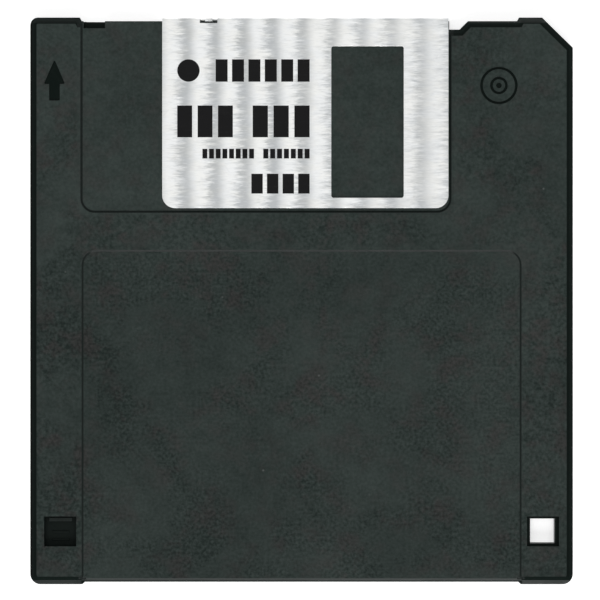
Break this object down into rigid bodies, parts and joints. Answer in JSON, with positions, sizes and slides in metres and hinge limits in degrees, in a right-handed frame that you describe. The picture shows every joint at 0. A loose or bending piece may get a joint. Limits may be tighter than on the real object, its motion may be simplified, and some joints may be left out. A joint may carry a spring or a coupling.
{
  "type": "floppy disk",
  "caption": "Rigid square plastic cartridge with a thin magnetic disc inside, a sliding folded steel shutter over the head windows, and a sliding write protect tab.",
  "frame": {"origin": "middle of the case's hub side, on the surface that it lies on", "axes": "+Y towards the shutter end, +Z out of the label side, +X to the right as seen from the label side"},
  "size_m": [0.09, 0.094, 0.0033],
  "materials": {
    "case_plastic": "dense matte grain on the faces, smooth darker edges",
    "shutter_steel": "brushed along the width",
    "print_ink": "matte ink",
    "spring_steel": "drawn wire",
    "tab_plastic": "smooth",
    "liner_fabric": "nonwoven",
    "disc_film": "coated film, semi-gloss",
    "hub_steel": "stamped, satin",
    "adhesive": "dull",
    "lifter_film": "satin"
  },
  "bodies": {
    "case": {"upper_shell": "case_plastic", "lower_shell": "case_plastic", "upper_liner": "liner_fabric", "lower_liner": "liner_fabric", "lifter": "lifter_film", "shutter_spring": "spring_steel"},
    "shutter": {"shutter": "shutter_steel", "shutter_print": "print_ink"},
    "disc": {"magnetic_disc": "disc_film", "hub": "hub_steel", "hub_adhesive_ring": "adhesive"},
    "tab": {"write_protect_tab": "tab_plastic"}
  },
  "joints": [
    {"name": "shutter_slide", "type": "slide", "parent": "case", "child": "shutter", "axis": [-1, 0, 0], "range_m": [0, 0.0124], "stiffness_N_per_m": 30, "springref_m": -0.01, "deforming": ["shutter_spring"]},
    {"name": "disc_spin", "type": "hinge", "parent": "case", "child": "disc", "pos_m": [0, 0, 0.0014], "axis": [0, 0, 1], "continuous": true},
    {"name": "write_protect_slide", "type": "slide", "parent": "case", "child": "tab", "axis": [0, -1, 0], "range_m": [0, 0.0043]}
  ]
}
